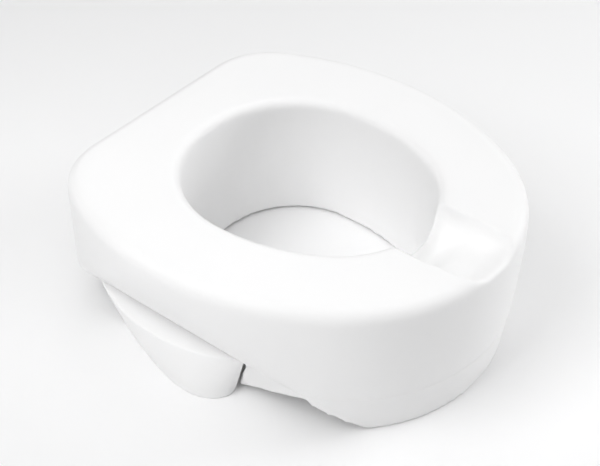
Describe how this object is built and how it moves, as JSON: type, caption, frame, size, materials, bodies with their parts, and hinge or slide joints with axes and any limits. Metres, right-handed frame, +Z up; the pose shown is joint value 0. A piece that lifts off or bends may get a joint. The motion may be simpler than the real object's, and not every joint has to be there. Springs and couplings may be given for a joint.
{
  "type": "raised toilet seat",
  "caption": "Soft moulded raised toilet seat with an egg-shaped opening, a front hygiene recess and sliding side flaps that grip the bowl.",
  "frame": {"origin": "under the middle of the footprint, on the surface that the seat stands on", "axes": "+X towards the user's left as they sit, +Y towards the straight back edge, +Z up; the rounded front faces -Y"},
  "size_m": [0.3792, 0.4086, 0.15],
  "materials": {
    "foam": "satin integral-skin polyurethane foam, off-white",
    "flap_foam": "satin integral-skin polyurethane foam, off-white",
    "hook_tape": "white woven tape with moulded hooks",
    "loop_tape": "white brushed loop tape"
  },
  "bodies": {
    "seat": {"seat_body": "foam", "hook_strip_left_front": "hook_tape", "hook_strip_left_rear": "hook_tape", "hook_strip_right_front": "hook_tape", "hook_strip_right_rear": "hook_tape"},
    "left_flap": {"side_flap_left": "flap_foam", "loop_strip_left_front": "loop_tape", "loop_strip_left_rear": "loop_tape"},
    "right_flap": {"side_flap_right": "flap_foam", "loop_strip_right_front": "loop_tape", "loop_strip_right_rear": "loop_tape"}
  },
  "joints": [
    {"name": "left_flap_slide", "type": "slide", "parent": "seat", "child": "left_flap", "axis": [1, 0, 0], "range_m": [0, 0.012]},
    {"name": "right_flap_slide", "type": "slide", "parent": "seat", "child": "right_flap", "axis": [-1, 0, 0], "range_m": [0, 0.012]}
  ]
}
